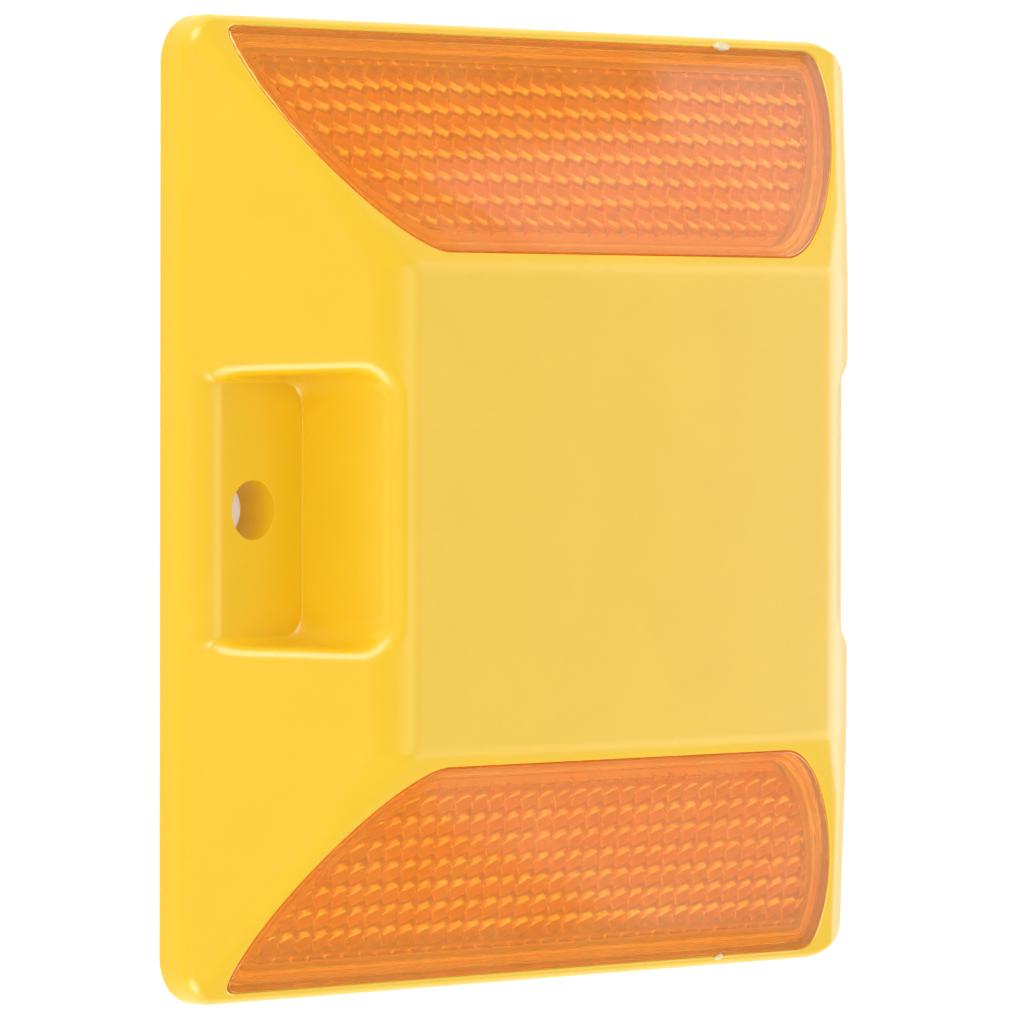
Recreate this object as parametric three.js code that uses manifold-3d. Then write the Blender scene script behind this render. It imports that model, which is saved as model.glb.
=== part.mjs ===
// Raised pavement marker with two reflector faces and two screw pockets, in millimetres.
// The origin is the centre of the underside and +Z is up. X runs through the two screw
// pockets, and Y is the direction of traffic, so the reflectors are on the +Y and -Y slopes.

import * as THREE from "three";
import { mergeVertices } from "three/addons/utils/BufferGeometryUtils.js";
import Module from "manifold-3d";

const wasm = await Module();
wasm.setup();

// Driving dimensions.
const half = 50; // half the side of the square base
const wall = 3; // upright edge of the base
const height = 18;
const baseCorner = 5; // plan radius of the base corners
const endTop = { half: 34.25, fillet: 8 }; // top flat along X and its roll into the end slopes
const faceTop = { half: 24.7, fillet: 2 }; // top flat along Y and its roll into the lens slopes

const pocket = { back: 34.75, half: 12.7, floor: 5, corner: 3, draft: 3 * Math.PI / 180 };
const screw = { x: 41.65, radius: 3, boss: 6 };

const cell = { pitch: 10.6, width: 9, across: 4 }; // underside cells, counted out from the centre
const shell = 2.2; // housing wall over the cells
const leastCell = 1.5; // a shallower cell is left solid

const recess = { ledge: 2.6, ledgeWidth: 2.4, floor: 4, skin: 1.6 };
const fitGap = 0.3;
const lens = { rimDepth: 1.6, prismInset: 3, prismDepth: 2.4 };
const bead = { near: 0.7, far: 1.9, top: 1.9, bottom: 2.3 };
const backing = { top: 3, bottom: 3.7 };

// Lens outline on its slope: x across the marker, y up the slope from the slope's lower edge.
const outline = {
  edge: 1.25, // straight outer edge
  inner: 27.65, // straight inner edge
  cornerX: 42.7, // where the outer edge turns
  endX: 44.3, // widest point, at endY
  endY: 2.9,
  bendLow: [43.9, 12],
  bendHigh: [31.9, 27.65],
  innerX: 25.5,
};

const arcSteps = 8;
const endRise = (height - wall) / (half - endTop.half);
const faceRise = (height - wall) / (half - faceTop.half);
const faceAngle = Math.atan(faceRise);

const colours = {
  housing: { color: 0xf2c02a, roughness: 0.42, metalness: 0 },
  lens: { color: 0xf08024, roughness: 0.12, metalness: 0, transparent: true, opacity: 0.8 },
  backing: { color: 0xe8a13c, roughness: 0.5, metalness: 0 },
  bead: { color: 0xf3d9b0, roughness: 0.35, metalness: 0 },
};

// Solids: joining and cutting.
function toSolid(geometry) {
  const bare = geometry.clone();
  bare.deleteAttribute("normal");
  bare.deleteAttribute("uv");
  const merged = mergeVertices(bare, 1e-4);
  const mesh = new wasm.Mesh({
    numProp: 3,
    vertProperties: new Float32Array(merged.attributes.position.array),
    triVerts: new Uint32Array(merged.index.array),
  });
  return new wasm.Manifold(mesh);
}

function toGeometry(solid) {
  const mesh = solid.getMesh();
  const geometry = new THREE.BufferGeometry();
  geometry.setAttribute("position", new THREE.BufferAttribute(mesh.vertProperties, 3));
  geometry.setIndex(new THREE.BufferAttribute(mesh.triVerts, 1));
  geometry.computeVertexNormals();
  return geometry;
}

function piece(name, geometry, look) {
  const mesh = new THREE.Mesh(geometry, new THREE.MeshStandardMaterial(look));
  mesh.name = name;
  return mesh;
}

function prism(shape, from, to) {
  const geometry = new THREE.ExtrudeGeometry(shape, {
    depth: to - from,
    bevelEnabled: false,
    curveSegments: arcSteps,
  });
  return geometry.translate(0, 0, from);
}

// Side view of a ramp, flat and ramp, with a round roll between them.
function rampShape(top) {
  const angle = Math.atan((height - wall) / (half - top.half));
  const reach = top.fillet * Math.tan(angle / 2);
  const centre = { x: top.half - reach, y: height - top.fillet };
  const shape = new THREE.Shape();
  shape.moveTo(-half, 0);
  shape.lineTo(half, 0);
  shape.lineTo(half, wall);
  shape.absarc(centre.x, centre.y, top.fillet, Math.PI / 2 - angle, Math.PI / 2, false);
  shape.absarc(-centre.x, centre.y, top.fillet, Math.PI / 2, Math.PI / 2 + angle, false);
  shape.lineTo(-half, wall);
  return shape;
}

function roundedSquare(size, radius) {
  const flat = size - radius;
  const shape = new THREE.Shape();
  shape.absarc(flat, -flat, radius, -Math.PI / 2, 0, false);
  shape.absarc(flat, flat, radius, 0, Math.PI / 2, false);
  shape.absarc(-flat, flat, radius, Math.PI / 2, Math.PI, false);
  shape.absarc(-flat, -flat, radius, Math.PI, 1.5 * Math.PI, false);
  return shape;
}

function makeBlock() {
  const alongY = new THREE.Matrix4().makeBasis(
    new THREE.Vector3(1, 0, 0), new THREE.Vector3(0, 0, 1), new THREE.Vector3(0, -1, 0));
  const alongX = new THREE.Matrix4().makeBasis(
    new THREE.Vector3(0, 1, 0), new THREE.Vector3(0, 0, 1), new THREE.Vector3(1, 0, 0));
  const ends = prism(rampShape(endTop), -half - 1, half + 1).applyMatrix4(alongY);
  const faces = prism(rampShape(faceTop), -half - 1, half + 1).applyMatrix4(alongX);
  const plan = prism(roundedSquare(half, baseCorner), 0, height + 1);
  return toSolid(ends).intersect(toSolid(faces)).intersect(toSolid(plan));
}

// Screw pocket on the +X end: open outwards, with a drafted back wall and side walls.
function makePocketCut() {
  const outer = half + 5;
  const shape = new THREE.Shape();
  shape.moveTo(outer, -pocket.half);
  shape.lineTo(outer, pocket.half);
  shape.absarc(pocket.back + pocket.corner, pocket.half - pocket.corner, pocket.corner,
    Math.PI / 2, Math.PI, false);
  shape.absarc(pocket.back + pocket.corner, pocket.corner - pocket.half, pocket.corner,
    Math.PI, 1.5 * Math.PI, false);
  const depth = height + 2 - pocket.floor;
  const geometry = prism(shape, 0, depth);
  const widest = 1 + depth * Math.tan(pocket.draft) / pocket.half;
  const position = geometry.attributes.position;
  for (let i = 0; i < position.count; i += 1) {
    if (position.getZ(i) > depth / 2) {
      position.setX(i, outer + (position.getX(i) - outer) * widest);
      position.setY(i, position.getY(i) * widest);
    }
  }
  return toSolid(geometry.translate(0, 0, pocket.floor));
}

function makeScrewHole() {
  const length = pocket.floor + 2;
  const geometry = new THREE.CylinderGeometry(screw.radius, screw.radius, length, 32);
  geometry.rotateX(Math.PI / 2);
  return toSolid(geometry.translate(screw.x, 0, length / 2 - 1));
}

// Underside cells. Each is a square well whose roof keeps a full wall under the skin above it.
function skinAt(x, y) {
  const endRamp = wall + (half - Math.abs(x)) * endRise;
  const faceRamp = wall + (half - Math.abs(y)) * faceRise;
  return Math.min(height, endRamp, faceRamp);
}

function roofAt(x, y) {
  const underPocket = Math.abs(x) > pocket.back - shell && Math.abs(y) < pocket.half + shell;
  if (underPocket) return pocket.floor - shell;
  const underLens = Math.abs(y) > faceTop.half - recess.floor;
  const thickness = underLens ? recess.floor / Math.cos(faceAngle) + recess.skin : shell;
  return skinAt(x, y) - thickness;
}

function cellRoof(x, y) {
  const reach = cell.width / 2;
  const corners = [-reach, reach].flatMap((dx) => [-reach, reach].map((dy) => [x + dx, y + dy]));
  return Math.min(...corners.map(([cx, cy]) => roofAt(cx, cy)));
}

function makeCells() {
  const wells = [];
  for (let column = -cell.across; column <= cell.across; column += 1) {
    for (let row = -cell.across; row <= cell.across; row += 1) {
      const x = column * cell.pitch;
      const y = row * cell.pitch;
      const roof = cellRoof(x, y);
      const inBoss = Math.hypot(Math.abs(x) - screw.x, y) < screw.boss;
      if (roof < leastCell || inBoss) continue;
      const geometry = new THREE.BoxGeometry(cell.width, cell.width, roof + 1);
      wells.push(toSolid(geometry.translate(x, y, (roof - 1) / 2)));
    }
  }
  return wells;
}

// Lens outline, and the same outline moved inwards.
function lensOutline() {
  const o = outline;
  const shape = new THREE.Shape();
  shape.moveTo(-o.cornerX, o.edge);
  shape.lineTo(o.cornerX, o.edge);
  shape.quadraticCurveTo(o.endX, o.edge, o.endX, o.endY);
  shape.bezierCurveTo(...o.bendLow, ...o.bendHigh, o.innerX, o.inner);
  shape.lineTo(-o.innerX, o.inner);
  shape.bezierCurveTo(-o.bendHigh[0], o.bendHigh[1], -o.bendLow[0], o.bendLow[1], -o.endX, o.endY);
  shape.quadraticCurveTo(-o.endX, o.edge, -o.cornerX, o.edge);
  return shape.getPoints(arcSteps).slice(0, -1);
}

function distanceToEdges(point, points) {
  const nearest = new THREE.Vector3();
  const target = new THREE.Vector3(point.x, point.y, 0);
  const gaps = points.map((start, i) => {
    const end = points[(i + 1) % points.length];
    const edge = new THREE.Line3(new THREE.Vector3(start.x, start.y), new THREE.Vector3(end.x, end.y));
    return edge.closestPointToPoint(target, true, nearest).distanceTo(target);
  });
  return Math.min(...gaps);
}

// Every corner of a convex outline moved inwards. Where a tight corner would fold over itself,
// its points come too near the old outline and are left out.
function inset(points, distance) {
  const count = points.length;
  const moved = points.map((point, i) => {
    const before = point.clone().sub(points[(i + count - 1) % count]).normalize();
    const after = points[(i + 1) % count].clone().sub(point).normalize();
    const along = before.clone().add(after).normalize();
    const mitre = distance / along.dot(before);
    return new THREE.Vector2(point.x - along.y * mitre, point.y + along.x * mitre);
  });
  return moved.filter((point) => distanceToEdges(point, points) > distance - 0.01);
}

function lensShape(...insets) {
  return new THREE.Shape(insets.reduce(inset, lensOutline()));
}

function makeRecessCut() {
  const ledge = toSolid(prism(lensShape(0), -recess.ledge, 3));
  const well = toSolid(prism(lensShape(recess.ledgeWidth), -recess.floor, 3));
  return ledge.add(well);
}

function makeLens() {
  const plate = toSolid(prism(lensShape(fitGap), -lens.rimDepth, 0));
  const prisms = toSolid(prism(lensShape(recess.ledgeWidth, lens.prismInset - recess.ledgeWidth), -lens.prismDepth, -lens.rimDepth / 2));
  return toGeometry(plate.add(prisms));
}

function makeBead() {
  const shape = lensShape(bead.near);
  shape.holes.push(new THREE.Path(inset(lensOutline(), bead.far)));
  return prism(shape, -bead.bottom, -bead.top);
}

function makeBacking() {
  return prism(lensShape(recess.ledgeWidth, fitGap), -backing.bottom, -backing.top);
}

// A group on the -Y slope, or on the +Y slope when turned half way round. Inside it x runs
// across the marker, y runs up the slope and z points out of the face.
function slopeGroup(turn) {
  const tilted = new THREE.Group();
  tilted.position.set(0, -half, wall);
  tilted.rotation.x = faceAngle;
  const turned = new THREE.Group();
  turned.rotation.z = turn;
  turned.add(tilted);
  turned.updateMatrixWorld(true);
  return { turned, tilted };
}

function makeReflector(side, turn) {
  const { turned, tilted } = slopeGroup(turn);
  tilted.add(piece(`${side}_lens`, makeLens(), colours.lens));
  tilted.add(piece(`${side}_lens_bead`, makeBead(), colours.bead));
  tilted.add(piece(`${side}_reflector_backing`, makeBacking(), colours.backing));
  return turned;
}

function makeHousing() {
  const mirrored = (solid) => solid.rotate([0, 0, 180]);
  const pocketCut = makePocketCut();
  const screwHole = makeScrewHole();
  const cuts = [pocketCut, mirrored(pocketCut), screwHole, mirrored(screwHole), ...makeCells()];
  for (const turn of [0, Math.PI]) {
    const { tilted } = slopeGroup(turn);
    const recessMesh = toGeometry(makeRecessCut()).applyMatrix4(tilted.matrixWorld);
    cuts.push(toSolid(recessMesh));
  }
  const body = cuts.reduce((solid, cut) => solid.subtract(cut), makeBlock());
  return piece("housing", toGeometry(body), colours.housing);
}

const marker = new THREE.Group();
marker.add(makeHousing());
marker.add(makeReflector("front", 0));
marker.add(makeReflector("rear", Math.PI));

export default marker;
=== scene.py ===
import bpy
import bmesh
import math
import numpy as np
from mathutils import Matrix, Vector, noise
from mathutils.bvhtree import BVHTree


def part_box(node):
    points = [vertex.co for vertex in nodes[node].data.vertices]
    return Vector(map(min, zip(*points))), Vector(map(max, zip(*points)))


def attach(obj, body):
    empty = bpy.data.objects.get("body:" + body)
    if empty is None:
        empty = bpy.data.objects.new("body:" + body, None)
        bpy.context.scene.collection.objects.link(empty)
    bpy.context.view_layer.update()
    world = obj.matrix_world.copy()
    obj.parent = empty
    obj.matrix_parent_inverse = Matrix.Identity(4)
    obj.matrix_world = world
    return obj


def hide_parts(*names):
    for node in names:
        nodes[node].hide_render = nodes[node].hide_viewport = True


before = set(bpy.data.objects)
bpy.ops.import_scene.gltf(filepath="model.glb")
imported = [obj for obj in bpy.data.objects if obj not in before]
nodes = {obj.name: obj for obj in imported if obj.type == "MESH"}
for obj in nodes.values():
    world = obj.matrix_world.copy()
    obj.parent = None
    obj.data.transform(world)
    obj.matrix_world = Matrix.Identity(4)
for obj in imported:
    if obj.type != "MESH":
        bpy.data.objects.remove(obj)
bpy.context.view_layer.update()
mm = 0.001  # settings below are in millimetres unless they say otherwise
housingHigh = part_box("housing")[1]
halfSide = housingHigh.x / mm
fullHeight = housingHigh.z / mm
print("frame loaded, housing", round(2 * halfSide, 2), "x", round(fullHeight, 2), "mm")


def newObject(name, verts, faces):
    mesh = bpy.data.meshes.new(name)
    mesh.from_pydata([tuple(v) for v in verts], [], faces)
    mesh.update()
    made = bpy.data.objects.new(name, mesh)
    bpy.context.scene.collection.objects.link(made)
    return made


def dropObject(obj):
    mesh = obj.data
    bpy.data.objects.remove(obj)
    bpy.data.meshes.remove(mesh)


def applyModifiers(obj):
    bpy.context.view_layer.update()
    graph = bpy.context.evaluated_depsgraph_get()
    done = bpy.data.meshes.new_from_object(obj.evaluated_get(graph))
    old = obj.data
    obj.modifiers.clear()
    obj.data = done
    bpy.data.meshes.remove(old)


def booleanWith(obj, cutter, operation):
    mod = obj.modifiers.new("boolean", "BOOLEAN")
    mod.operation = operation
    mod.solver = "MANIFOLD"
    mod.object = cutter
    applyModifiers(obj)
    dropObject(cutter)


def gridFaces(rows, columns, closed=False):
    across = columns if closed else columns - 1
    faces = []
    for i in range(rows - 1):
        for j in range(across):
            k = (j + 1) % columns
            near = i * columns
            far = near + columns
            faces.append((near + j, near + k, far + k, far + j))
    return faces


def ringStack(rings):
    # closed outlines of equal length stacked into one skin, capped at both ends
    count = len(rings[0])
    verts = [p for ring in rings for p in ring]
    faces = gridFaces(len(rings), count, closed=True)
    last = (len(rings) - 1) * count
    faces.append(tuple(reversed(range(count))))
    faces.append(tuple(range(last, last + count)))
    return verts, faces


def outwardFaces(obj):
    shape = bmesh.new()
    shape.from_mesh(obj.data)
    bmesh.ops.recalc_face_normals(shape, faces=shape.faces)
    shape.to_mesh(obj.data)
    shape.free()


def smoothByAngle(obj, degrees):
    for face in obj.data.polygons:
        face.use_smooth = True
    obj.data.set_sharp_from_angle(angle=math.radians(degrees))


def roundMax(a, b, radius):
    # two distance fields intersected, with a round edge
    reach = np.hypot(np.maximum(a + radius, 0), np.maximum(b + radius, 0))
    return np.minimum(-radius, np.maximum(a, b)) + reach


housing = {
    "wall": 3.0,
    "endTop": 34.25,  # half the top flat along X
    "faceTop": 24.7,  # half the top flat along Y
    "baseCorner": 5.0,
    "endRoll": 2.4,  # softness of the roll from the top flat to the end slopes
    "faceRoll": 0.45,
    "hipRoll": 1.3,
    "rollFrom": 0.72,  # share of the height where the hip roll starts to widen into the end roll
    "rollOver": 0.28,
    "rimRoll": 0.8,
    "footRoll": 0.2,
    "pocketBack": 34.75,
    "pocketBeyond": 20,  # how far the pocket shape runs out past the part
    "pocketHalf": 12.85,
    "pocketFloor": 5.0,
    "pocketCorner": 2.7,
    "pocketDraft": math.tan(math.radians(2.4)),
    "backDraft": math.tan(math.radians(4.6)),
    "sideFlare": 0.68,  # the side walls stand this much further back just above the floor
    "flareHeight": 0.6,
    "pocketLip": 1.45,
    "floorFillet": 0.1,
    "gridHold": 5.6,  # how far round the pocket corners the grid follows their arcs
    "gridFade": 3.4,
    "screwX": 41.65,
    "screwRadius": 3.0,
    "holeLip": 0.09,
    "cellPitch": 10.6,
    "cellWidth": 9.0,
    "cellCorner": 0.7,
    "cellDraft": 0.25,
    "cellBevel": 0.5,  # round the roof of a cell
}
endRise = (fullHeight - housing["wall"]) / (halfSide - housing["endTop"])
faceRise = (fullHeight - housing["wall"]) / (halfSide - housing["faceTop"])
faceAngle = math.atan(faceRise)


def roundedBox(qx, qy):
    # distance to a square corner from how far past each of its sides a point is
    return np.hypot(np.maximum(qx, 0), np.maximum(qy, 0)) + np.minimum(np.maximum(qx, qy), 0)


def planDistance(x, y, half, corner):
    qx = np.abs(x) - (half - corner)
    qy = np.abs(y) - (half - corner)
    return roundedBox(qx, qy) - corner


def housingField(x, y, z):
    # distance-like field of the outer skin, negative in the plastic
    h = housing
    top = z - fullHeight
    face = (z - h["wall"] - (halfSide - np.abs(y)) * faceRise) * math.cos(faceAngle)
    end = (z - h["wall"] - (halfSide - np.abs(x)) * endRise) / math.hypot(1, endRise)
    nearTop = np.clip((z - h["rollFrom"] * fullHeight) / (h["rollOver"] * fullHeight), 0, 1)
    roll = h["hipRoll"] + (h["endRoll"] - h["hipRoll"]) * nearTop * nearTop * (3 - 2 * nearTop)
    body = roundMax(roundMax(top, face, h["faceRoll"]), end, roll)
    body = roundMax(body, planDistance(x, y, halfSide, h["baseCorner"]), h["rimRoll"])
    # the screw pocket is a drafted rounded box that runs out through the end slope
    outer = halfSide + h["pocketBeyond"]
    middle = (outer + h["pocketBack"]) / 2
    lean = (z - h["pocketFloor"]) * (h["backDraft"] - h["pocketDraft"])
    qx = np.abs(np.abs(x) - middle) - (outer - h["pocketBack"]) / 2 + h["pocketCorner"] - lean
    flare = h["sideFlare"] * (1 - np.exp(-np.maximum(z - h["pocketFloor"], 0) / h["flareHeight"]))
    qy = np.abs(y) - h["pocketHalf"] + h["pocketCorner"] - flare
    wall = roundedBox(qx, qy) - h["pocketCorner"] - (z - h["pocketFloor"]) * h["pocketDraft"]
    pocket = roundMax(wall, h["pocketFloor"] - z, h["floorFillet"])
    return roundMax(body, -pocket, h["pocketLip"])


def lineSet(stretches):
    # grid lines from the middle out, mirrored; each stretch is (end, spacing)
    lines = [0.0]
    for end, spacing in stretches:
        start = lines[-1]
        count = max(1, round((end - start) / spacing))
        lines.extend(start + (end - start) * (i + 1) / count for i in range(count))
    return np.array([-v for v in reversed(lines[1:])] + lines)


def roundPlan(x, y):
    # square corner blocks bent into the round plan corners
    r = housing["baseCorner"]
    a = np.maximum(np.abs(x) - (halfSide - r), 0)
    b = np.maximum(np.abs(y) - (halfSide - r), 0)
    na = a * np.sqrt(1 - b * b / (2 * r * r))
    nb = b * np.sqrt(1 - a * a / (2 * r * r))
    return x - np.sign(x) * (a - na), y - np.sign(y) * (b - nb)


def roundPocket(x, y):
    # grid squares round the back corners of the pockets bent into arcs, so lines follow the walls
    h = housing
    a = h["pocketBack"] + h["pocketCorner"] - np.abs(x)
    b = np.abs(y) - h["pocketHalf"] + h["pocketCorner"]
    inCorner = (a > 0) & (b > 0)
    size = np.maximum(np.maximum(a, b), 1e-6)
    ra = a * np.sqrt(np.maximum(1 - (b / size) ** 2 / 2, 0))
    rb = b * np.sqrt(np.maximum(1 - (a / size) ** 2 / 2, 0))
    fade = np.clip((size - h["gridHold"]) / h["gridFade"], 0, 1)
    hold = np.where(inCorner, 1 - fade * fade * (3 - 2 * fade), 0)
    return x + np.sign(x) * (a - ra) * hold, y - np.sign(y) * (b - rb) * hold


def skinHeight(x, y):
    low = np.zeros_like(x)
    high = np.full_like(x, fullHeight + 1.0)
    for _ in range(40):
        middle = (low + high) / 2
        inside = housingField(x, y, middle) < 0
        low = np.where(inside, middle, low)
        high = np.where(inside, high, middle)
    return (low + high) / 2


def skinNormals(points):
    step = 1e-3
    x, y, z = points.T
    slope = np.stack([
        housingField(x + step, y, z) - housingField(x - step, y, z),
        housingField(x, y + step, z) - housingField(x, y - step, z),
        housingField(x, y, z + step) - housingField(x, y, z - step),
    ], axis=1)
    return slope / np.maximum(np.linalg.norm(slope, axis=1, keepdims=True), 1e-9)


# grid stretches from the middle out, as (end, spacing), finest at the pocket walls and the edges
rimLine = halfSide - 0.002
skinGrid = {
    "x": [
        (28, 1.4), (32, 0.5), (33.9, 0.2), (34.85, 0.035), (35.4, 0.14),
        (38, 0.5), (44, 0.8), (47, 0.4), (48.6, 0.12), (rimLine, 0.16),
    ],
    "y": [
        (9.7, 1.1), (12, 0.35), (12.75, 0.12), (13.9, 0.04), (15.6, 0.13),
        (22, 0.9), (26, 0.45), (44, 0.9), (48.4, 0.5), (rimLine, 0.16),
    ],
}


def makeSkin():
    h = housing
    gx, gy = np.meshgrid(lineSet(skinGrid["x"]), lineSet(skinGrid["y"]))
    gx, gy = roundPocket(*roundPlan(gx, gy))
    gz = skinHeight(gx.ravel(), gy.ravel()).reshape(gx.shape)
    rows, columns = gx.shape
    verts = np.stack([gx.ravel(), gy.ravel(), gz.ravel()], axis=1)
    faces = gridFaces(rows, columns)
    # the rim of the grid in order, then rings down the wall to the foot
    rim = list(range(columns))
    rim += [i * columns + columns - 1 for i in range(1, rows)]
    rim += [(rows - 1) * columns + j for j in range(columns - 2, -1, -1)]
    rim += [i * columns for i in range(rows - 2, 0, -1)]
    edge = verts[rim]
    foot = h["footRoll"]
    rings = []
    for share in (0.66, 0.33):
        ring = edge.copy()
        ring[:, 2] = foot + (edge[:, 2] - foot) * share
        rings.append(ring)
    core = halfSide - h["baseCorner"]
    for turn in (0.0, 0.25, 0.5, 0.75, 1.0):
        angle = turn * math.pi / 2
        ring = edge.copy()
        middle = np.clip(edge[:, :2], -core, core)
        away = edge[:, :2] - middle
        size = np.maximum(np.linalg.norm(away, axis=1, keepdims=True), 1e-9)
        ring[:, :2] = edge[:, :2] - away / size * foot * (1 - math.cos(angle))
        ring[:, 2] = foot * (1 - math.sin(angle))
        rings.append(ring)
    count = len(rim)
    allVerts = np.concatenate([verts] + rings)
    above = rim
    for r in range(len(rings)):
        below = [len(verts) + r * count + k for k in range(count)]
        for k in range(count):
            n = (k + 1) % count
            faces.append((above[k], below[k], below[n], above[n]))
        above = below
    faces.append(tuple(reversed(above)))
    skin = newObject("housing_body", allVerts, faces)
    outwardFaces(skin)
    return skin


skin = makeSkin()
print("housing skin", len(skin.data.polygons), "faces")


lensPlan = {
    "edge": 1.25,  # straight outer edge, up the slope from its lower edge
    "inner": 27.65,
    "cornerX": 42.7,
    "endX": 44.3,
    "endY": 2.9,
    "bendLow": (43.9, 12.0),
    "bendHigh": (31.9, 27.65),
    "innerX": 25.5,
}


def bezier(points, steps):
    t = np.linspace(0, 1, steps + 1)[:, None]
    points = [np.array(p, float) for p in points]
    while len(points) > 1:
        points = [a * (1 - t) + b * t for a, b in zip(points[:-1], points[1:])]
    return points[0]


def evenOutline(points, spacing):
    # the closed outline walked at an even spacing
    loop = np.vstack([points, points[:1]])
    lengths = np.linalg.norm(np.diff(loop, axis=0), axis=1)
    along = np.concatenate([[0], np.cumsum(lengths)])
    count = int(round(along[-1] / spacing))
    wanted = np.linspace(0, along[-1], count, endpoint=False)
    return np.stack([np.interp(wanted, along, loop[:, k]) for k in (0, 1)], axis=1)


def lensOutline(spacing=0.6):
    p = lensPlan
    end = (p["endX"], p["endY"])
    right = [
        np.array([[0, p["edge"]], [p["cornerX"], p["edge"]]]),
        bezier([(p["cornerX"], p["edge"]), (p["endX"], p["edge"]), end], 24)[1:],
        bezier([end, p["bendLow"], p["bendHigh"], (p["innerX"], p["inner"])], 160)[1:],
        np.array([[0, p["inner"]]]),
    ]
    right = np.vstack(right)
    left = right[-2:0:-1] * [-1, 1]
    return evenOutline(np.vstack([right, left]), spacing)


def insetOutline(points, distance):
    # every side of the convex outline moved inwards, met along rays from its middle
    middle = (points.min(axis=0) + points.max(axis=0)) / 2
    along = np.roll(points, -1, axis=0) - points
    along /= np.linalg.norm(along, axis=1, keepdims=True)
    outward = np.stack([along[:, 1], -along[:, 0]], axis=1)
    offset = np.sum((points - middle) * outward, axis=1) - distance
    ray = points - middle
    ray /= np.linalg.norm(ray, axis=1, keepdims=True)
    facing = ray @ outward.T
    reach = np.where(facing > 1e-6, offset[None, :] / np.maximum(facing, 1e-6), np.inf).min(axis=1)
    return middle + ray * reach[:, None]


def slopeMatrix(side):
    # from slope coordinates (x across, y up the slope, z out of the face) to the part's millimetres
    tilt = Matrix.Rotation(faceAngle, 4, "X")
    place = Matrix.Translation((0, -halfSide, housing["wall"])) @ tilt
    turn = Matrix.Rotation(math.pi if side == "rear" else 0, 4, "Z")
    return turn @ place


def withHeight(outline, height):
    return [(p[0], p[1], height) for p in outline]


recess = {"ledge": 2.6, "ledgeWidth": 2.4, "floor": 4.0, "lip": 0.3, "above": 0.5}


def makeRecessCutter(side):
    r = recess
    outline = lensOutline()
    rings = [withHeight(insetOutline(outline, -r["lip"]), r["above"])]
    for step in range(5):
        angle = step / 4 * math.pi / 2
        out = r["lip"] * (1 - math.sin(angle))
        rings.append(withHeight(insetOutline(outline, -out), -r["lip"] * (1 - math.cos(angle))))
    rings.append(withHeight(outline, -r["ledge"]))
    well = insetOutline(outline, r["ledgeWidth"])
    rings.append(withHeight(well, -r["ledge"]))
    rings.append(withHeight(well, -r["floor"]))
    verts, faces = ringStack(rings)
    cutter = newObject("recess_cutter", verts, faces)
    cutter.data.transform(slopeMatrix(side))
    outwardFaces(cutter)
    return cutter


def makeHoleCutter(side):
    h = housing
    top = h["pocketFloor"]
    lip = h["holeLip"]
    bore = h["screwRadius"]
    profile = [(bore, -1.0), (bore, top - lip), (bore + lip * 0.3, top - lip * 0.3)]
    profile += [(bore + lip, top), (bore + lip, top + 1.0)]
    turns = 96
    angles = [2 * math.pi * k / turns for k in range(turns)]
    rings = []
    for radius, height in profile:
        place = [(side * h["screwX"] + radius * math.cos(a), radius * math.sin(a)) for a in angles]
        rings.append(withHeight(place, height))
    verts, faces = ringStack(rings)
    cutter = newObject("hole_cutter", verts, faces)
    outwardFaces(cutter)
    return cutter


def cellRoofs():
    # the underside wells of the CAD housing, found by looking up into each cell of its grid
    tree = BVHTree.FromObject(nodes["housing"], bpy.context.evaluated_depsgraph_get())
    reach = int(halfSide // housing["cellPitch"])
    roofs = []
    for i in range(-reach, reach + 1):
        for j in range(-reach, reach + 1):
            x = i * housing["cellPitch"]
            y = j * housing["cellPitch"]
            hit = tree.ray_cast(Vector((x * mm, y * mm, -0.01)), Vector((0, 0, 1)))[0]
            clearOfScrew = math.hypot(abs(x) - housing["screwX"], y) > housing["screwRadius"] + 1
            if hit is not None and hit.z / mm > 0.5 and clearOfScrew:
                roofs.append((x, y, hit.z / mm))
    return roofs


def roundedRect(half, corner, steps):
    points = []
    for quarter in range(4):
        cx = (half - corner) * (1 if quarter in (0, 3) else -1)
        cy = (half - corner) * (1 if quarter in (0, 1) else -1)
        for k in range(steps + 1):
            angle = (quarter + k / steps) * math.pi / 2
            points.append((cx + corner * math.cos(angle), cy + corner * math.sin(angle)))
    return points


def makeCellCutters():
    verts = []
    faces = []
    for x, y, roof in cellRoofs():
        rings = []
        half = housing["cellWidth"] / 2
        drawn = half - housing["cellDraft"] * roof / fullHeight
        bevel = housing["cellBevel"]
        profile = [(half + 0.02, -1.0), (half, 0.0), (drawn, roof - bevel)]
        profile += [(drawn - 0.3 * bevel, roof - 0.3 * bevel), (drawn - bevel, roof)]
        for size, height in profile:
            square = roundedRect(size, housing["cellCorner"], 4)
            rings.append([(x + px, y + py, height) for px, py in square])
        ringVerts, ringFaces = ringStack(rings)
        offset = len(verts)
        verts.extend(ringVerts)
        faces.extend(tuple(v + offset for v in face) for face in ringFaces)
    cutter = newObject("cell_cutter", verts, faces)
    outwardFaces(cutter)
    return cutter


def joinMeshes(objs):
    shape = bmesh.new()
    for obj in objs:
        shape.from_mesh(obj.data)
    shape.to_mesh(objs[0].data)
    shape.free()
    for obj in objs[1:]:
        dropObject(obj)
    return objs[0]


def cutHousing(body):
    cutters = [makeRecessCutter(side) for side in ("front", "rear")]
    cutters += [makeHoleCutter(side) for side in (-1, 1)]
    cutters.append(makeCellCutters())
    booleanWith(body, joinMeshes(cutters), "DIFFERENCE")


# where the exact normals hold: this near the skin, this far over the foot, and turned from the
# face by an angle with at least this cosine
exactWhere = {"offSkin": 0.004, "overFoot": 0.3, "facing": 0.6}


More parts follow.
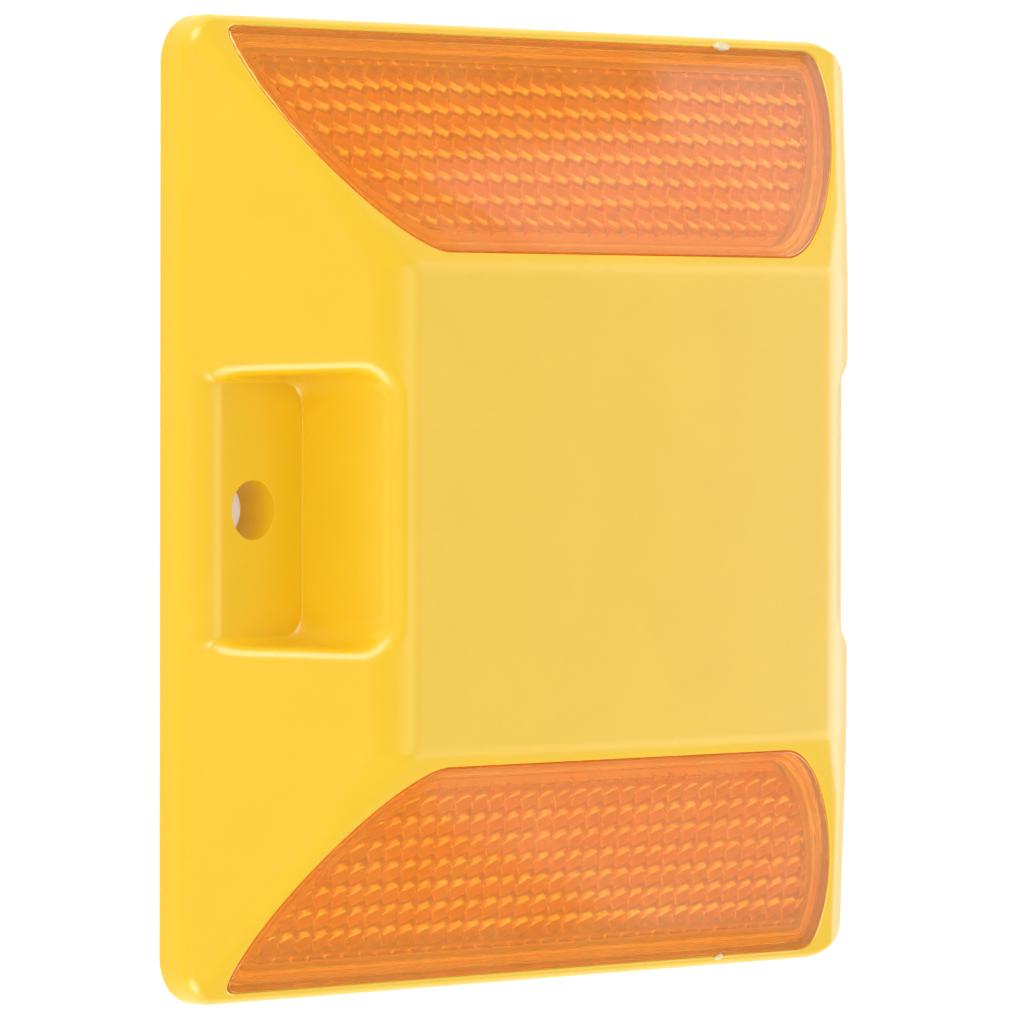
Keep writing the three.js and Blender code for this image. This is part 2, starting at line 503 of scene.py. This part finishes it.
def finishNormals(body):
    # exact normals where a face is still on the outer skin, and sharp edges by angle elsewhere
    smoothByAngle(body, 32)
    mesh = body.data
    corner = np.zeros(len(mesh.loops) * 3, np.float32)
    mesh.corner_normals.foreach_get("vector", corner)
    corner = corner.reshape(-1, 3)
    co = np.zeros(len(mesh.vertices) * 3, np.float32)
    mesh.vertices.foreach_get("co", co)
    co = co.reshape(-1, 3).astype(float)
    onSkin = np.abs(housingField(*co.T)) < exactWhere["offSkin"]
    onSkin &= co[:, 2] > housing["footRoll"] + exactWhere["overFoot"]
    exact = skinNormals(co)
    owner = np.zeros(len(mesh.loops), np.int32)
    mesh.loops.foreach_get("vertex_index", owner)
    for face in mesh.polygons:
        loops = range(face.loop_start, face.loop_start + face.loop_total)
        if not all(onSkin[owner[i]] for i in loops):
            continue
        if min(exact[owner[i]] @ np.array(face.normal) for i in loops) < exactWhere["facing"]:
            continue
        for i in loops:
            corner[i] = exact[owner[i]]
    mesh.normals_split_custom_set(corner.tolist())


cutHousing(skin)
finishNormals(skin)
skin.data.transform(Matrix.Scale(mm, 4))
print("housing cut", len(skin.data.polygons), "faces")


lens = {
    "gap": 0.06,  # between lens and housing
    "edgeRound": 0.15,
    "rimThick": 1.6,
    "skin": 0.75,
    "ridges": (0.8, 1.7),  # sealing ridges behind the rim, by their inset
    "ridgeWidth": 0.5,
    "ridgeDepth": 0.16,
    "fieldInset": 3.0,
    "pitchX": 2.45,
    "rowPitch": 2.68,
    "edgeSoften": 0.06,
    "roofDip": 53.0,  # degrees from the face down to the roofs
    "fieldStart": 0.9,  # where the rows begin, up the slope
    "fieldTop": -0.5,
    "overlap": 0.04,  # how far the prism block runs into the rim
}


def makePrismBlock():
    # rows of right-angled roofs run down into the lens, and a face square to them ends each row,
    # so three square faces meet at every deep point
    dip = math.radians(lens["roofDip"])
    run = lens["rowPitch"] * math.cos(dip)
    halfPitch = lens["pitchX"] / 2
    across = int(lensPlan["endX"] / halfPitch) + 3
    rows = int(lensPlan["inner"] / lens["rowPitch"]) + 3
    deep = -lens["skin"] - halfPitch * math.cos(dip) - run * math.sin(dip)
    block = bmesh.new()

    def line(row, end):
        made = []
        for i in range(-across, across + 1):
            # each row stands half a pitch to the side of the last
            drop = halfPitch * ((i + row) % 2)
            along = row * lens["rowPitch"] - drop * math.sin(dip) + end * run * math.cos(dip)
            z = -lens["skin"] - drop * math.cos(dip) - end * run * math.sin(dip)
            made.append(block.verts.new((i * halfPitch, lens["fieldStart"] + along, z)))
        return made

    lines = [line(row, end) for row in range(-1, rows + 1) for end in (0, 1)]
    for near, far in zip(lines[:-1], lines[1:]):
        for i in range(2 * across):
            block.faces.new((near[i], near[i + 1], far[i + 1], far[i]))
    inner = [edge for edge in block.edges if not edge.is_boundary]
    soften = {"offset": lens["edgeSoften"], "segments": 2, "profile": 0.5, "affect": "EDGES"}
    bmesh.ops.bevel(block, geom=inner, **soften)
    made = bmesh.ops.extrude_face_region(block, geom=list(block.faces), use_keep_orig=True)
    for item in made["geom"]:
        if isinstance(item, bmesh.types.BMVert):
            item.co.z = lens["fieldTop"]
    bmesh.ops.recalc_face_normals(block, faces=block.faces)
    mesh = bpy.data.meshes.new("prism_block")
    block.to_mesh(mesh)
    block.free()
    field = bpy.data.objects.new("prism_block", mesh)
    bpy.context.scene.collection.objects.link(field)
    clip = insetOutline(lensOutline(), lens["fieldInset"] - lens["overlap"])
    verts, faces = ringStack([withHeight(clip, deep - 1), withHeight(clip, 1)])
    clipper = newObject("prism_clip", verts, faces)
    outwardFaces(clipper)
    booleanWith(field, clipper, "INTERSECT")
    return field


def makeLensPlate():
    p = lens
    outline = lensOutline()
    rings = [withHeight(insetOutline(outline, p["fieldInset"]), -p["skin"] + 0.1)]
    rings.append(withHeight(insetOutline(outline, p["fieldInset"]), -p["rimThick"]))
    for ridge in reversed(p["ridges"]):
        for offset, depth in ((0.5, 0), (0.2, 1), (-0.2, 1), (-0.5, 0)):
            place = insetOutline(outline, ridge + offset * p["ridgeWidth"])
            rings.append(withHeight(place, -p["rimThick"] - depth * p["ridgeDepth"]))
    edge = insetOutline(outline, p["gap"])
    rings.append(withHeight(insetOutline(outline, p["gap"] + 0.1), -p["rimThick"]))
    rings.append(withHeight(edge, -p["rimThick"] + 0.1))
    for step in range(5):
        angle = step / 4 * math.pi / 2
        place = insetOutline(outline, p["gap"] + p["edgeRound"] * (1 - math.cos(angle)))
        rings.append(withHeight(place, -p["edgeRound"] * (1 - math.sin(angle))))
    verts, faces = ringStack(rings)
    plate = newObject("lens_plate", verts, faces)
    outwardFaces(plate)
    return plate


def makeLens(side):
    body = makeLensPlate()
    booleanWith(body, makePrismBlock(), "UNION")
    body.name = side + "_lens_moulding"
    body.data.transform(Matrix.Scale(mm, 4) @ slopeMatrix(side))
    smoothByAngle(body, 22)
    return body


# the bead's section, as inset from the lens outline and height over the slope
beadSection = [
    (0.75, -1.92), (1.0, -1.88), (1.6, -1.88), (1.85, -1.95),
    (1.88, -2.2), (1.6, -2.3), (1.0, -2.3), (0.72, -2.2),
]
beadWobble = {"height": 0.04, "width": 0.12}


def makeBead(side):
    outline = lensOutline(0.8)
    count = len(outline)
    rings = [withHeight(insetOutline(outline, inset), height) for inset, height in beadSection]
    verts = [p for ring in rings for p in ring]
    faces = gridFaces(len(rings) + 1, count, closed=True)
    faces = [tuple(v % len(verts) for v in face) for face in faces]
    bead = newObject(side + "_adhesive_bead", verts, faces)
    outwardFaces(bead)
    for vert in bead.data.vertices:
        vert.co.z += beadWobble["height"] * noise.noise(vert.co * 0.9)
        vert.co.y += beadWobble["width"] * noise.noise(vert.co * 0.5 + Vector((7, 0, 0)))
    bead.data.transform(Matrix.Scale(mm, 4) @ slopeMatrix(side))
    smoothByAngle(bead, 60)
    return bead


gateStubs = {
    "front": {"x": 29.6, "half": (0.6, 0.4), "height": 0.22},
    "rear": {"x": -29.6, "half": (1.3, 0.5), "height": 0.3},
    "up": 1.2,  # up the slope from the lower edge
    # share of the width and of the height, from under the surface to the middle of the top
    "profile": [(0.9, -0.3), (1.0, 0.0), (0.97, 0.5), (0.84, 0.85), (0.6, 1.0), (0.25, 1.02)],
    "torn": 0.22,
    "rough": 0.3,
}


def makeGateStub(side):
    # what is left of the moulding gate, broken off against the rim
    size = gateStubs[side]
    halfX, halfY = size["half"]
    turns = 28
    rings = []
    for shrink, height in gateStubs["profile"]:
        ring = []
        for k in range(turns):
            angle = 2 * math.pi * k / turns
            where = Vector((3 * math.cos(angle), 3 * math.sin(angle), size["x"] + height))
            torn = 1 + gateStubs["torn"] * noise.noise(where)
            x = size["x"] + halfX * shrink * torn * math.cos(angle)
            y = gateStubs["up"] + halfY * shrink * torn * math.sin(angle)
            rough = gateStubs["rough"] * noise.noise(Vector((x * 2.1, y * 2.1, 0)))
            ring.append((x, y, size["height"] * (height + rough * max(height, 0))))
        rings.append(ring)
    verts, faces = ringStack(rings)
    stub = newObject(side + "_lens_gate_stub", verts, faces)
    stub.data.transform(Matrix.Scale(mm, 4) @ slopeMatrix(side))
    outwardFaces(stub)
    smoothByAngle(stub, 50)
    return stub


squeeze = {
    "length": 15.0,
    "radius": 0.12,
    "least": 0.01,
    "ragged": 0.95,
    "wander": 0.12,
    "flat": 0.55,  # height against width
    "step": 0.16,
    "lead": 6,  # steps round the outer corner before the slanted edge
    "sides": 10,
}


def makeSqueezeOut():
    # adhesive pressed out along the slanted edge of the rear lens, thinning away from its outer corner
    outline = lensOutline(squeeze["step"])
    start = int(np.argmax(outline[:, 0]))
    path = outline[start - squeeze["lead"]:start + int(squeeze["length"] / squeeze["step"])]
    rings = []
    for i, (x, y) in enumerate(path):
        share = i / (len(path) - 1)
        swell = 1 + squeeze["ragged"] * noise.noise(Vector((x * 1.3, y * 1.3, 4)))
        taper = math.sin(math.pi * min(1, share * 8 + 0.06) / 2) * (1 - share) ** 0.5
        radius = squeeze["radius"] * swell * taper + squeeze["least"]
        ahead = path[min(i + 1, len(path) - 1)] - path[max(i - 1, 0)]
        ahead = ahead / np.linalg.norm(ahead)
        side = Vector((ahead[1], -ahead[0], 0))
        wander = squeeze["wander"] * noise.noise(Vector((x * 0.9, y * 0.9, 9)))
        middle = Vector((x, y, 0)) + side * wander
        ring = []
        for k in range(squeeze["sides"]):
            angle = 2 * math.pi * k / squeeze["sides"]
            across = side * radius * math.cos(angle)
            up = Vector((0, 0, squeeze["flat"] * radius * math.sin(angle)))
            ring.append(tuple(middle + across + up))
        rings.append(ring)
    verts, faces = ringStack(rings)
    line = newObject("rear_lens_squeezed_adhesive", verts, faces)
    line.data.transform(Matrix.Scale(mm, 4) @ slopeMatrix("rear"))
    outwardFaces(line)
    smoothByAngle(line, 60)
    return line


def addNode(tree, kind, **settings):
    node = tree.nodes.new(kind)
    for key, value in settings.items():
        setattr(node, key, value)
    return node


def newGroup(name, inputs, output):
    group = bpy.data.node_groups.new(name, "ShaderNodeTree")
    for label, value in inputs.items():
        socket = group.interface.new_socket(label, in_out="INPUT", socket_type="NodeSocketFloat")
        socket.default_value = value
    group.interface.new_socket(output, in_out="OUTPUT", socket_type="NodeSocketFloat")
    return group, addNode(group, "NodeGroupInput"), addNode(group, "NodeGroupOutput")


def mathNode(tree, operation, first, second):
    # each side is a number or an output
    node = addNode(tree, "ShaderNodeMath", operation=operation)
    for socket, value in zip(node.inputs, (first, second)):
        if isinstance(value, (int, float)):
            socket.default_value = value
        else:
            tree.links.new(value, socket)
    return node.outputs[0]


def rangeNode(tree, value, low, high, toLow, toHigh):
    node = addNode(tree, "ShaderNodeMapRange")
    labels = ("Value", "From Min", "From Max", "To Min", "To Max")
    for label, given in zip(labels, (value, low, high, toLow, toHigh)):
        if isinstance(given, (int, float)):
            node.inputs[label].default_value = given
        else:
            tree.links.new(given, node.inputs[label])
    return node.outputs["Result"]


def makeUnevenness():
    # soft cloudy variation of any size in millimetres, from fine grain to broad mottle
    group, given, result = newGroup("unevenness", {"Size": 1.0, "Low": 0.0, "High": 1.0}, "Value")
    place = addNode(group, "ShaderNodeTexCoord")
    cloud = addNode(group, "ShaderNodeTexNoise")
    cloud.inputs["Detail"].default_value = 3
    group.links.new(place.outputs["Object"], cloud.inputs["Vector"])
    group.links.new(mathNode(group, "DIVIDE", 1 / mm, given.outputs["Size"]), cloud.inputs["Scale"])
    low, high = given.outputs["Low"], given.outputs["High"]
    spread = rangeNode(group, cloud.outputs["Fac"], 0.3, 0.7, low, high)
    group.links.new(spread, result.inputs[0])
    return group


def makeDust():
    # sparse specks on whatever faces up; spacing and size in millimetres
    group, given, result = newGroup("dust", {"Spacing": 1.5, "Size": 0.06, "Share": 0.2}, "Mask")
    place = addNode(group, "ShaderNodeTexCoord")
    cells = addNode(group, "ShaderNodeTexVoronoi")
    group.links.new(place.outputs["Object"], cells.inputs["Vector"])
    spacing = mathNode(group, "DIVIDE", 1 / mm, given.outputs["Spacing"])
    group.links.new(spacing, cells.inputs["Scale"])
    chance = addNode(group, "ShaderNodeSeparateXYZ")
    group.links.new(cells.outputs["Color"], chance.inputs[0])
    reach = mathNode(group, "DIVIDE", given.outputs["Size"], given.outputs["Spacing"])
    reach = mathNode(group, "MULTIPLY", reach, chance.outputs["Y"])
    speck = mathNode(group, "LESS_THAN", cells.outputs["Distance"], reach)
    kept = mathNode(group, "LESS_THAN", chance.outputs["X"], given.outputs["Share"])
    facing = addNode(group, "ShaderNodeNewGeometry")
    upward = addNode(group, "ShaderNodeSeparateXYZ")
    group.links.new(facing.outputs["Normal"], upward.inputs[0])
    resting = rangeNode(group, upward.outputs["Z"], 0.2, 0.7, 0.0, 1.0)
    mask = mathNode(group, "MULTIPLY", mathNode(group, "MULTIPLY", speck, kept), resting)
    group.links.new(mask, result.inputs[0])
    return group


def makeScratches():
    # faint broken lines from handling, all running one way; sizes in millimetres, turn in radians
    inputs = {"Length": 12.0, "Spacing": 1.2, "Width": 0.004, "Turn": 0.4}
    group, given, result = newGroup("handling_scratches", inputs, "Mask")
    place = addNode(group, "ShaderNodeTexCoord")
    turn = addNode(group, "ShaderNodeCombineXYZ")
    group.links.new(given.outputs["Turn"], turn.inputs["Z"])
    stretch = addNode(group, "ShaderNodeCombineXYZ")
    group.links.new(mathNode(group, "DIVIDE", 1 / mm, given.outputs["Length"]), stretch.inputs["X"])
    across = mathNode(group, "DIVIDE", 1 / mm, given.outputs["Spacing"])
    group.links.new(across, stretch.inputs["Y"])
    group.links.new(across, stretch.inputs["Z"])
    laid = addNode(group, "ShaderNodeMapping")
    group.links.new(place.outputs["Object"], laid.inputs["Vector"])
    group.links.new(turn.outputs[0], laid.inputs["Rotation"])
    group.links.new(stretch.outputs[0], laid.inputs["Scale"])
    lines = addNode(group, "ShaderNodeTexNoise")
    lines.inputs["Scale"].default_value = 1
    lines.inputs["Detail"].default_value = 2
    group.links.new(laid.outputs[0], lines.inputs["Vector"])
    off = mathNode(group, "ABSOLUTE", mathNode(group, "SUBTRACT", lines.outputs["Fac"], 0.5), 0)
    thin = rangeNode(group, off, 0.0, given.outputs["Width"], 1.0, 0.0)
    patches = addNode(group, "ShaderNodeTexNoise")
    patches.inputs["Scale"].default_value = 0.12 / mm
    group.links.new(place.outputs["Object"], patches.inputs["Vector"])
    worn = rangeNode(group, patches.outputs["Fac"], 0.52, 0.66, 0.0, 1.0)
    group.links.new(mathNode(group, "MULTIPLY", thin, worn), result.inputs[0])
    return group


unevenness = makeUnevenness()
dust = makeDust()
scratches = makeScratches()


def newMaterial(name):
    material = bpy.data.materials.new(name)
    material.use_nodes = True
    tree = material.node_tree
    shader = tree.nodes["Principled BSDF"]
    return material, tree, shader


def placeGroup(tree, group, **values):
    node = addNode(tree, "ShaderNodeGroup", node_tree=group)
    for label, value in values.items():
        node.inputs[label].default_value = value
    return node.outputs[0]


def mixColour(tree, factor, first, second):
    # each side is a colour or an output
    node = addNode(tree, "ShaderNodeMix", data_type="RGBA")
    tree.links.new(factor, node.inputs[0])
    for socket, value in zip((node.inputs[6], node.inputs[7]), (first, second)):
        if isinstance(value, tuple):
            socket.default_value = value
        else:
            tree.links.new(value, socket)
    return node.outputs[2]


def bumpFrom(tree, height, distance, strength):
    node = addNode(tree, "ShaderNodeBump")
    node.inputs["Distance"].default_value = distance * mm
    node.inputs["Strength"].default_value = strength
    tree.links.new(height, node.inputs["Height"])
    return node.outputs["Normal"]


yellowPlastic = {
    "deep": (0.85, 0.525, 0.009, 1),
    "pale": (0.87, 0.545, 0.012, 1),
    "mottleSize": 11.0,
    "roughness": (0.27, 0.33),
    "grainSize": 0.16,
    "grainDepth": 0.004,
    "dust": {"Spacing": 2.6, "Size": 0.09, "Share": 0.12},
    "dustColour": (0.70, 0.60, 0.42, 1),
    "scratches": {"Length": 9.0, "Spacing": 1.6, "Width": 0.004, "Turn": 0.7},
    "scratchRoughness": 0.12,
}


def makeYellowPlastic():
    y = yellowPlastic
    material, tree, shader = newMaterial("yellow_moulded_plastic")
    mottle = placeGroup(tree, unevenness, Size=y["mottleSize"])
    specks = placeGroup(tree, dust, **y["dust"])
    colour = mixColour(tree, specks, mixColour(tree, mottle, y["deep"], y["pale"]), y["dustColour"])
    tree.links.new(colour, shader.inputs["Base Color"])
    low, high = y["roughness"]
    grain = placeGroup(tree, unevenness, Size=y["grainSize"], Low=low, High=high)
    lines = placeGroup(tree, scratches, **y["scratches"])
    rubbed = mathNode(tree, "MULTIPLY", lines, y["scratchRoughness"])
    tree.links.new(mathNode(tree, "ADD", grain, rubbed), shader.inputs["Roughness"])
    texture = placeGroup(tree, unevenness, Size=y["grainSize"])
    tree.links.new(bumpFrom(tree, texture, y["grainDepth"], 0.5), shader.inputs["Normal"])
    return material


amber = {
    "absorb": (0.99, 0.65, 0.04, 1),
    "density": 260.0,  # per metre
    "cloud": (1, 0.53, 0.04, 1),  # the faint milkiness of the moulding
    "cloudPale": (1, 0.60, 0.09, 1),
    "cloudSize": 8.0,
    "clear": 0.77,
    "roughness": (0.09, 0.13),
    "hazeSize": 3.0,
    "rippleSize": 2.2,  # slow waves that a moulded face has
    "rippleDepth": 0.008,
    "scratches": {"Length": 7.0, "Spacing": 0.9, "Width": 0.005, "Turn": -0.5},
    "scratchRoughness": 0.06,
}


def makeAmberAcrylic():
    a = amber
    material, tree, shader = newMaterial("amber_acrylic")
    mottle = placeGroup(tree, unevenness, Size=a["cloudSize"])
    tree.links.new(mixColour(tree, mottle, a["cloud"], a["cloudPale"]), shader.inputs["Base Color"])
    low, high = a["roughness"]
    haze = placeGroup(tree, unevenness, Size=a["hazeSize"], Low=low, High=high)
    lines = placeGroup(tree, scratches, **a["scratches"])
    rubbed = mathNode(tree, "MULTIPLY", lines, a["scratchRoughness"])
    tree.links.new(mathNode(tree, "ADD", haze, rubbed), shader.inputs["Roughness"])
    ripple = placeGroup(tree, unevenness, Size=a["rippleSize"])
    tree.links.new(bumpFrom(tree, ripple, a["rippleDepth"], 0.6), shader.inputs["Normal"])
    shader.inputs["IOR"].default_value = 1.49
    shader.inputs["Transmission Weight"].default_value = a["clear"]
    volume = addNode(tree, "ShaderNodeVolumeAbsorption")
    volume.inputs["Color"].default_value = a["absorb"]
    volume.inputs["Density"].default_value = a["density"]
    tree.links.new(volume.outputs[0], tree.nodes["Material Output"].inputs["Volume"])
    return material


backing = {
    "deep": (0.90, 0.56, 0.10, 1),
    "pale": (0.96, 0.64, 0.14, 1),
    "mottleSize": 4.0,
    "roughness": (0.45, 0.55),
    "grainSize": 0.2,
    "grainDepth": 0.004,
}
glue = {
    "deep": (0.84, 0.56, 0.07, 1),
    "pale": (0.92, 0.72, 0.26, 1),
    "mottleSize": 1.5,
    "roughness": (0.25, 0.45),
    "grainSize": 0.5,
    "grainDepth": 0.03,
}
gateScar = {
    "deep": (0.66, 0.50, 0.16, 1),
    "pale": (0.86, 0.80, 0.56, 1),
    "mottleSize": 0.6,
    "roughness": (0.3, 0.6),
    "grainSize": 0.25,
    "grainDepth": 0.05,
}


def makeMottled(name, look):
    material, tree, shader = newMaterial(name)
    mottle = placeGroup(tree, unevenness, Size=look["mottleSize"])
    colour = mixColour(tree, mottle, look["deep"], look["pale"])
    tree.links.new(colour, shader.inputs["Base Color"])
    low, high = look["roughness"]
    grain = placeGroup(tree, unevenness, Size=look["grainSize"], Low=low, High=high)
    tree.links.new(grain, shader.inputs["Roughness"])
    lumps = placeGroup(tree, unevenness, Size=look["grainSize"])
    tree.links.new(bumpFrom(tree, lumps, look["grainDepth"], 0.6), shader.inputs["Normal"])
    return material


def setMaterial(obj, material):
    obj.data.materials.clear()
    obj.data.materials.append(material)


yellow = makeYellowPlastic()
amberAcrylic = makeAmberAcrylic()
backingPlastic = makeMottled("backing_plastic", backing)
paleAdhesive = makeMottled("pale_adhesive", glue)
tornGate = makeMottled("torn_gate_plastic", gateScar)
print("materials ready")

setMaterial(skin, yellow)
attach(skin, "root")
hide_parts("housing")

for side in ("front", "rear"):
    lensPiece = makeLens(side)
    setMaterial(lensPiece, amberAcrylic)
    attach(lensPiece, "root")
    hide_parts(side + "_lens")
    bead = makeBead(side)
    setMaterial(bead, paleAdhesive)
    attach(bead, "root")
    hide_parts(side + "_lens_bead")
    stub = makeGateStub(side)
    setMaterial(stub, tornGate)
    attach(stub, "root")
    setMaterial(nodes[side + "_reflector_backing"], backingPlastic)
    print(side, "lens", len(lensPiece.data.polygons), "faces")

squeezeOut = makeSqueezeOut()
setMaterial(squeezeOut, paleAdhesive)
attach(squeezeOut, "root")


studio = {
    "diffuseSky": 0.69,  # soft light on matt surfaces
    "glossySky": 0.28,  # what shows in reflections between the soft boxes
    "lensSky": 2.05,  # what the light through the lenses comes from
    "floorSize": 3.0,  # metres
    "floorDrop": 0.05,
    "floorColour": (0.82, 0.82, 0.82, 1),
    "floorGlow": 0.6,
    "glowUnderAsPaintedShade": 0.2,  # under the part itself, kept low as painted shade on the floor beneath the part
    "glowEdge": 0.96,  # share of the part's half width where the glow starts to rise
    # lights: where they come from, width and height in metres, and radiance
    "fills": {
        "nearFill": {"from": (-0.8, 0.0, 0.6), "size": (1.6, 1.6), "radiance": 1.25},
        "leftFill": {"from": (0.0, 1.0, 0.2), "size": (1.2, 0.5), "radiance": 4.0},
        "rightFill": {"from": (0.0, -1.0, 0.2), "size": (1.2, 0.5), "radiance": 4.0},
    },
    "softBoxes": {
        "overhead": {"from": (0.36, 0.0, 0.93), "size": (0.36, 1.1), "radiance": 3.4},
        "farSide": {"from": (0.94, 0.0, 0.34), "size": (0.92, 1.5), "radiance": 5.2},
        "rearSheen": {"from": (0.79, 0.53, 0.30), "size": (0.5, 0.36), "radiance": 1.15},
        "frontSheen": {"from": (0.79, -0.53, 0.30), "size": (0.5, 0.36), "radiance": 0.5},
        "leftSide": {"from": (-0.34, 0.84, 0.42), "size": (1.05, 0.9), "radiance": 7.5},
        "rightSide": {"from": (-0.34, -0.84, 0.42), "size": (1.05, 0.9), "radiance": 7.5},
    },
    "distance": 1.4,  # metres from the part to every light
    "softBoxTint": (0.56, 0.72, 1.0),
}


def makeFloor():
    size = studio["floorSize"]
    drop = -studio["floorDrop"] * mm
    corners = [(-size, -size, drop), (size, -size, drop), (size, size, drop), (-size, size, drop)]
    floor = newObject("floor", corners, [(0, 1, 2, 3)])
    material, tree, shader = newMaterial("pale_floor")
    shader.inputs["Base Color"].default_value = studio["floorColour"]
    shader.inputs["Roughness"].default_value = 0.9
    shader.inputs["Specular IOR Level"].default_value = 0.0
    shader.inputs["Emission Strength"].default_value = 1.0
    # the glow is lower on the square that the part covers: painted shade on the floor beneath the part
    place = addNode(tree, "ShaderNodeNewGeometry")
    split = addNode(tree, "ShaderNodeSeparateXYZ")
    tree.links.new(place.outputs["Position"], split.inputs[0])
    absX = mathNode(tree, "ABSOLUTE", split.outputs["X"], 0)
    absY = mathNode(tree, "ABSOLUTE", split.outputs["Y"], 0)
    away = mathNode(tree, "MAXIMUM", absX, absY)
    reach = halfSide * mm
    levels = (studio["glowUnderAsPaintedShade"], studio["floorGlow"])
    glow = rangeNode(tree, away, studio["glowEdge"] * reach, reach, *levels)
    # and none of it falls on the part as soft light
    kind = addNode(tree, "ShaderNodeLightPath")
    shown = mathNode(tree, "SUBTRACT", 1.0, kind.outputs["Is Diffuse Ray"])
    tree.links.new(mathNode(tree, "MULTIPLY", glow, shown), shader.inputs["Emission Color"])
    setMaterial(floor, material)


def makeWorld():
    world = bpy.data.worlds.new("studio")
    world.use_nodes = True
    tree = world.node_tree
    back = tree.nodes["Background"]
    back.inputs["Color"].default_value = (1, 1, 1, 1)
    kind = addNode(tree, "ShaderNodeLightPath")
    glossy = addNode(tree, "ShaderNodeMix")
    glossy.inputs["A"].default_value = studio["diffuseSky"]
    glossy.inputs["B"].default_value = studio["glossySky"]
    tree.links.new(kind.outputs["Is Glossy Ray"], glossy.inputs["Factor"])
    through = addNode(tree, "ShaderNodeMix")
    through.inputs["B"].default_value = studio["lensSky"]
    tree.links.new(glossy.outputs["Result"], through.inputs["A"])
    tree.links.new(kind.outputs["Is Transmission Ray"], through.inputs["Factor"])
    tree.links.new(through.outputs["Result"], back.inputs["Strength"])
    bpy.context.scene.world = world


def makeAreaLight(name, settings, glossyOnly):
    # a soft box shows only in reflections, a fill only lights
    away = Vector(settings["from"]).normalized()
    data = bpy.data.lights.new(name, "AREA")
    data.shape = "RECTANGLE"
    data.size, data.size_y = settings["size"]
    data.energy = settings["radiance"] * math.pi * data.size * data.size_y
    data.color = studio["softBoxTint"] if glossyOnly else (1, 1, 1)
    lamp = bpy.data.objects.new(name, data)
    bpy.context.scene.collection.objects.link(lamp)
    side = Vector((0, 1, 0)).cross(away)
    if side.length < 0.6:  # too near the Y axis to turn about it
        side = Vector((1, 0, 0))
    side = (side - away * side.dot(away)).normalized()
    turn = Matrix((side, away.cross(side), away)).transposed().to_4x4()
    lamp.matrix_world = Matrix.Translation(away * studio["distance"]) @ turn
    lamp.visible_diffuse = not glossyOnly
    lamp.visible_glossy = glossyOnly
    lamp.visible_transmission = False
    return lamp


def makeLights():
    for name, settings in studio["fills"].items():
        makeAreaLight(name, settings, False)
    for name, settings in studio["softBoxes"].items():
        makeAreaLight(name, settings, True)


camera = {
    "distance": 0.8137,  # metres
    "tilt": 46.40,  # from straight above, towards -X
    "lift": 1.03,
    "roll": 0.12,
    "aim": (-0.0061, -0.0008),  # radians across and up
    "lens": 273.7,
    "target": 0.008,  # height of the point it looks at, in metres
}


def makeCamera():
    c = camera
    tilt = math.radians(c["tilt"])
    lift = math.radians(c["lift"])
    level = math.cos(lift)
    away = Vector((-math.sin(tilt) * level, math.sin(lift), math.cos(tilt) * level))
    place = Vector((0, 0, c["target"])) + away * c["distance"]
    upHint = Vector((0, 1, 0))
    ahead = -away
    right = ahead.cross(upHint).normalized()
    up = right.cross(ahead)
    ahead = (ahead + right * c["aim"][0] + up * c["aim"][1]).normalized()
    right = ahead.cross(upHint).normalized()
    up = right.cross(ahead)
    roll = math.radians(c["roll"])
    across = right * math.cos(roll) + up * math.sin(roll)
    upward = up * math.cos(roll) - right * math.sin(roll)
    turn = Matrix((across, upward, -ahead)).transposed().to_4x4()
    data = bpy.data.cameras.new("camera")
    data.lens = c["lens"]
    data.sensor_width = 36
    data.clip_start = 0.05
    made = bpy.data.objects.new("camera", data)
    bpy.context.scene.collection.objects.link(made)
    made.matrix_world = Matrix.Translation(place) @ turn
    bpy.context.scene.camera = made


makeFloor()
makeWorld()
makeLights()
makeCamera()
bpy.context.scene.view_settings.view_transform = "Standard"
lightPaths = {
    "max_bounces": 32,
    "glossy_bounces": 24,
    "transmission_bounces": 24,
    "diffuse_bounces": 6,
}
for key, value in lightPaths.items():
    setattr(bpy.context.scene.cycles, key, value)
print("studio ready")
